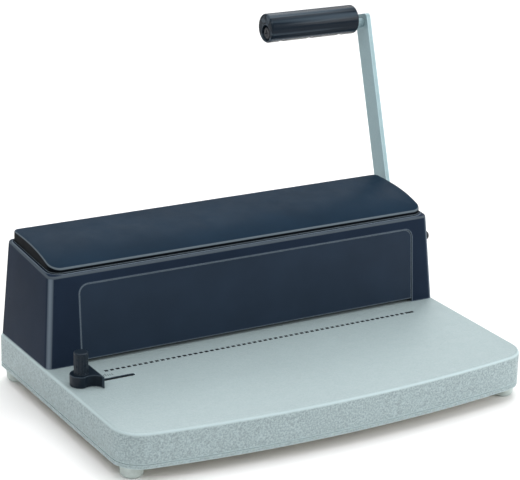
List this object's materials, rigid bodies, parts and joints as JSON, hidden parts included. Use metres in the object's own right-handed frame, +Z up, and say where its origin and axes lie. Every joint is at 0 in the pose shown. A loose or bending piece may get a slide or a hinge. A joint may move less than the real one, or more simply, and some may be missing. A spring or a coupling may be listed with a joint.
{
  "type": "comb binding machine",
  "caption": "Desktop comb binding machine: silver bow-fronted metal base with paper throat, dark hood with hinged lid over a comb opener, side lever with cross grip, and sliding edge guide.",
  "frame": {"origin": "the point on the desk under the middle of the machine's whole outline at rest", "axes": "+X to the right seen from the front, along the length of the machine; +Y to the back; +Z up"},
  "size_m": [0.388, 0.3096, 0.2821],
  "materials": {
    "base_paint": "silver grey textured paint",
    "arm_paint": "silver grey satin paint",
    "hood_plastic": "fine satin grain",
    "panel_plastic": "fine satin grain",
    "lid_plastic": "fine satin grain",
    "grip_plastic": "semi gloss",
    "black_plastic": "semi matt",
    "black_oxide": "black oxide",
    "foot_rubber": "matt",
    "bumper_rubber": "matt",
    "steel": "ground",
    "pin_steel": "ground bright",
    "spring_steel": "drawn wire",
    "zinc": "zinc plated",
    "bronze": "sintered bronze"
  },
  "bodies": {
    "base": {"base_pan": "base_paint", "bottom_plate": "zinc", "pan_standoffs": "zinc", "feet": "foot_rubber", "foot_screws": "zinc", "side_frame_left": "steel", "side_frame_right": "steel", "frame_screws": "zinc", "frame_nuts": "zinc", "tie_rod": "steel", "tie_nuts": "zinc", "die_plate": "steel", "die_screws": "zinc", "punch_guide": "steel", "guide_screws": "zinc", "back_gauge": "zinc", "gauge_screws": "zinc", "guide_posts": "steel", "return_springs": "spring_steel", "shaft_bush_left": "bronze", "shaft_bush_right": "bronze", "comb_plate": "pin_steel", "comb_plate_screws": "zinc", "hood_shell": "hood_plastic", "hood_screws": "zinc", "front_panel": "panel_plastic", "side_spacer": "zinc", "side_screw": "black_oxide", "lid_hinge_pins": "steel", "lid_bumpers": "bumper_rubber"},
    "handle": {"handle_arm": "arm_paint", "drive_shaft": "steel", "pinion_left": "steel", "pinion_right": "steel", "pinion_pins": "zinc", "retaining_ring": "zinc", "arm_collar": "black_plastic", "hub_bolt": "zinc", "grip_rod": "arm_paint", "grip": "grip_plastic", "grip_screw": "black_oxide"},
    "punch": {"punch_bar": "steel", "punch_pins": "pin_steel", "punch_rack_left": "steel", "punch_rack_right": "steel", "rack_screws": "zinc"},
    "comb_opener": {"hook_plate": "pin_steel", "comb_hooks": "pin_steel", "hook_rack_left": "steel", "hook_rack_right": "steel", "hook_screws": "zinc"},
    "lid": {"top_lid": "lid_plastic"},
    "chip_tray": {"chip_tray": "black_plastic"},
    "edge_guide": {"edge_guide": "black_plastic", "guide_nut": "zinc"},
    "guide_knob": {"guide_knob": "black_plastic"}
  },
  "joints": [
    {"name": "handle_swing", "type": "hinge", "parent": "base", "child": "handle", "pos_m": [0, 0.07851, 0.065], "axis": [1, 0, 0], "range_deg": [0, 90]},
    {"name": "punch_slide", "type": "slide", "parent": "base", "child": "punch", "axis": [0, 0, -1], "range_m": [0, 0.0138], "stiffness_N_per_m": 700, "springref_m": -0.015, "deforming": ["return_springs"]},
    {"name": "comb_opener_slide", "type": "slide", "parent": "base", "child": "comb_opener", "axis": [0, -1, 0], "range_m": [0, 0.0138]},
    {"name": "lid_hinge", "type": "hinge", "parent": "base", "child": "lid", "pos_m": [0, 0.09391, 0.1256], "axis": [-1, 0, 0], "range_deg": [0, 95]},
    {"name": "tray_slide", "type": "slide", "parent": "base", "child": "chip_tray", "axis": [1, 0, 0], "range_m": [0, 0.3]},
    {"name": "edge_guide_slide", "type": "slide", "parent": "base", "child": "edge_guide", "axis": [1, 0, 0], "range_m": [0, 0.045]},
    {"name": "knob_turn", "type": "hinge", "parent": "edge_guide", "child": "guide_knob", "pos_m": [-0.18, -0.03399, 0.06], "axis": [0, 0, 1], "range_deg": [0, 360]}
  ],
  "couplings": [
    {"joint": "punch_slide", "follows": "handle_swing", "m_per_rad": 0.00875},
    {"joint": "comb_opener_slide", "follows": "handle_swing", "m_per_rad": 0.00875}
  ]
}
